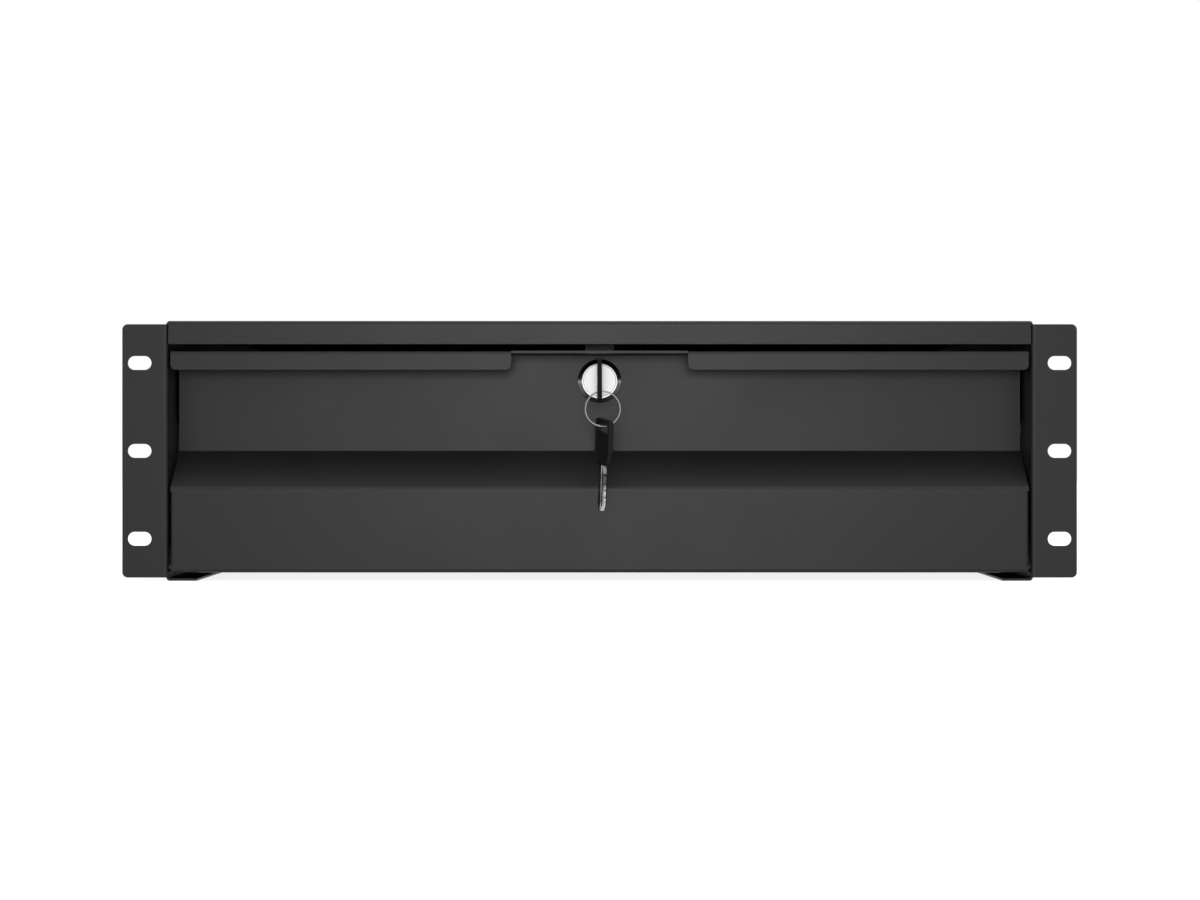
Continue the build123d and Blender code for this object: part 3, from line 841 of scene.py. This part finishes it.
def outline(corners, radius, inset, half):
    """Loop of a rounded outline moved inward by the inset, at a height of half a thickness."""
    points = [Vector(corner) for corner in corners]
    loop = []
    for before, corner, after in zip(points[-1:] + points, points, points[1:] + points[:1]):
        back, on = (before - corner).normalized(), (after - corner).normalized()
        bisector = (back + on).normalized()
        middle = corner + bisector * radius / math.sin(back.angle(on) / 2)
        normals = Vector((-back.y, back.x)), Vector((on.y, -on.x))
        first, last = [n if n.dot(bisector) < 0 else -n for n in normals]
        for step in range(corner_steps + 1):
            towards = first.slerp(last, step / corner_steps) * (radius - inset)
            loop.append(Vector((half, middle.y + towards.y, middle.x + towards.x)) * mm)
    return loop


head_side = [(1.75, web_half), (1.5, fillet_half), (1.3, head_half), (0.8, head_half), (0.42, 1.1)]
head_side += [(0.12, 0.8), (0, 0.35)]
eye_side = [(-1.5, web_half), (-1.25, fillet_half), (-1.05, head_half), (-0.4, head_half), (-0.12, 1.08)]
eye_side += [(0, 0.75)]


def both_faces(corners, radius, side):
    """Loops from the web of one face, round the edge, to the web of the other face."""
    there = [outline(corners, radius, inset, half) for inset, half in side]
    back = [outline(corners, radius, inset, -half) for inset, half in reversed(side)]
    return there + back


def head_mesh(name):
    """Skins of the rim and the eye, with a web filled in between them on both faces."""
    shape = bmesh.new()
    rim = skin(shape, both_faces(head_corners, head_round, head_side))
    eye = skin(shape, both_faces(eye_corners, eye_round, eye_side))
    for end in (0, -1):
        loops = rim[end], eye[end]
        edges = [shape.edges.get((a, b)) for loop in loops for a, b in zip(loop, loop[1:] + loop[:1])]
        bmesh.ops.triangle_fill(shape, use_beauty=True, edges=edges)
    return closed_mesh(shape, name)


# %% Key blade
blade_length, blade_half = 23.0, 3.4
tip_length, tip_half, tip_round = 3.0, 1.3, 0.2
blade_side, edge_side, groove_side = 0.95, 0.8, 0.7
edge_chamfer = 0.15
right_groove = [(blade_side, 2.1), (groove_side, 1.9), (groove_side, 0.6), (blade_side, 0.4)]
left_groove = [(-blade_side, -0.9), (-groove_side, -0.7), (-groove_side, 0.4), (-blade_side, 0.6)]
lower_notches = [(16.6, 0.87), (13.2, 1.3), (9.8, 0.87), (6.4, 1.3)]
upper_notches = [(16.4, 0.5), (12.9, 0.7), (9.6, 0.5), (5.4, 0.9)]
notch_flat = 0.3


def cut_at(along, notches):
    """How deep the notches have cut the edge at one place along the blade."""
    return max([0] + [min(depth, depth + notch_flat - abs(along - middle)) for middle, depth in notches])


def blade_section(along):
    """Loop of the blade at one place: a groove in each side, between the two notched edges."""
    taper = max(0, along - blade_length + tip_length) / tip_length
    half = blade_half - taper * (blade_half - tip_half)
    top, bottom = half - cut_at(along, upper_notches), cut_at(along, lower_notches) - half
    squeeze = half / blade_half
    points = [(edge_side, top), (blade_side, top - edge_chamfer)]
    points += [(x, z * squeeze) for x, z in right_groove]
    points += [(blade_side, bottom + edge_chamfer), (edge_side, bottom)]
    points += [(-edge_side, bottom), (-blade_side, bottom + edge_chamfer)]
    points += [(x, z * squeeze) for x, z in left_groove]
    points += [(-blade_side, top - edge_chamfer), (-edge_side, top)]
    return [Vector((x, along, z)) * mm for x, z in points]


def blade_mesh(name):
    """Skin of the blade, with a section wherever its tip or a notch starts or ends."""
    places_along = {0.0, blade_length - tip_length, blade_length - tip_round, blade_length}
    for middle, depth in lower_notches + upper_notches:
        reach = depth + notch_flat
        places_along |= {middle - reach, middle - notch_flat, middle + notch_flat, middle + reach}
    shape = bmesh.new()
    skin(shape, [blade_section(along) for along in sorted(places_along)], capped=True)
    return closed_mesh(shape, name)


# %% Place the keys
key_root_y = 12 * mm
hang_point = (1.6 * mm, -7.3 * mm, 12.55 * mm)
spare_yaw, spare_tilt = math.radians(71), math.radians(-6)
eye_to_root, spare_shift = 19.55 * mm, 2.4 * mm

key_at = Matrix.Translation((0, key_root_y, lock_z))
sine, cosine = math.sin(spare_yaw), math.cos(spare_yaw)
blade_down = Matrix(((-sine, 0, cosine), (-cosine, 0, -sine), (0, -1, 0))).to_4x4()
spare_at = Matrix.Translation(hang_point) @ blade_down
spare_at @= Matrix.Rotation(spare_tilt, 4, "X") @ Matrix.Translation((0, eye_to_root, spare_shift))

# The blades first take the finish of the keys' steel, then swap it for nickel with painted glints.
blade_nickel = nickel_with_painted_glints("blade_nickel")
keys = {}
for prefix, place in (("", key_at), ("spare_", spare_at)):
    for name, mesh in (("key_head", head_mesh("head")), ("key_blade", blade_mesh("blade"))):
        node = prefix + name
        mesh.transform(place)
        keys[node] = piece(node + "_shaped", mesh, body_of(node), slot_of[node], node)
        if name == "key_blade":
            mesh.materials[0] = blade_nickel
        print(keys[node].name, len(mesh.polygons), "faces")

# %% [markdown]
# ## A card in front of the lamp
#
# Chrome shows whatever stands opposite to it. The front lamp would be a hard white patch in the lock and a
# glare on the ring, and it would pale the edge of the key that points at it. A photographer would hang a
# card between the lamp and these pieces, but its shadow would reach the panel too. Light linking is a card
# without a shadow: the lamp lights everything except the pieces in one collection.

# %% Keep four pieces out of the front lamp
mirrors = bpy.data.collections.new("kept_out_of_front_lamp")
front_lamp.light_linking.receiver_collection = mirrors
for obj in (lock_cast, lock_plug, split_ring, keys["key_head"]):
    mirrors.objects.link(obj)
for entry in mirrors.collection_objects:
    entry.light_linking.link_state = "EXCLUDE"
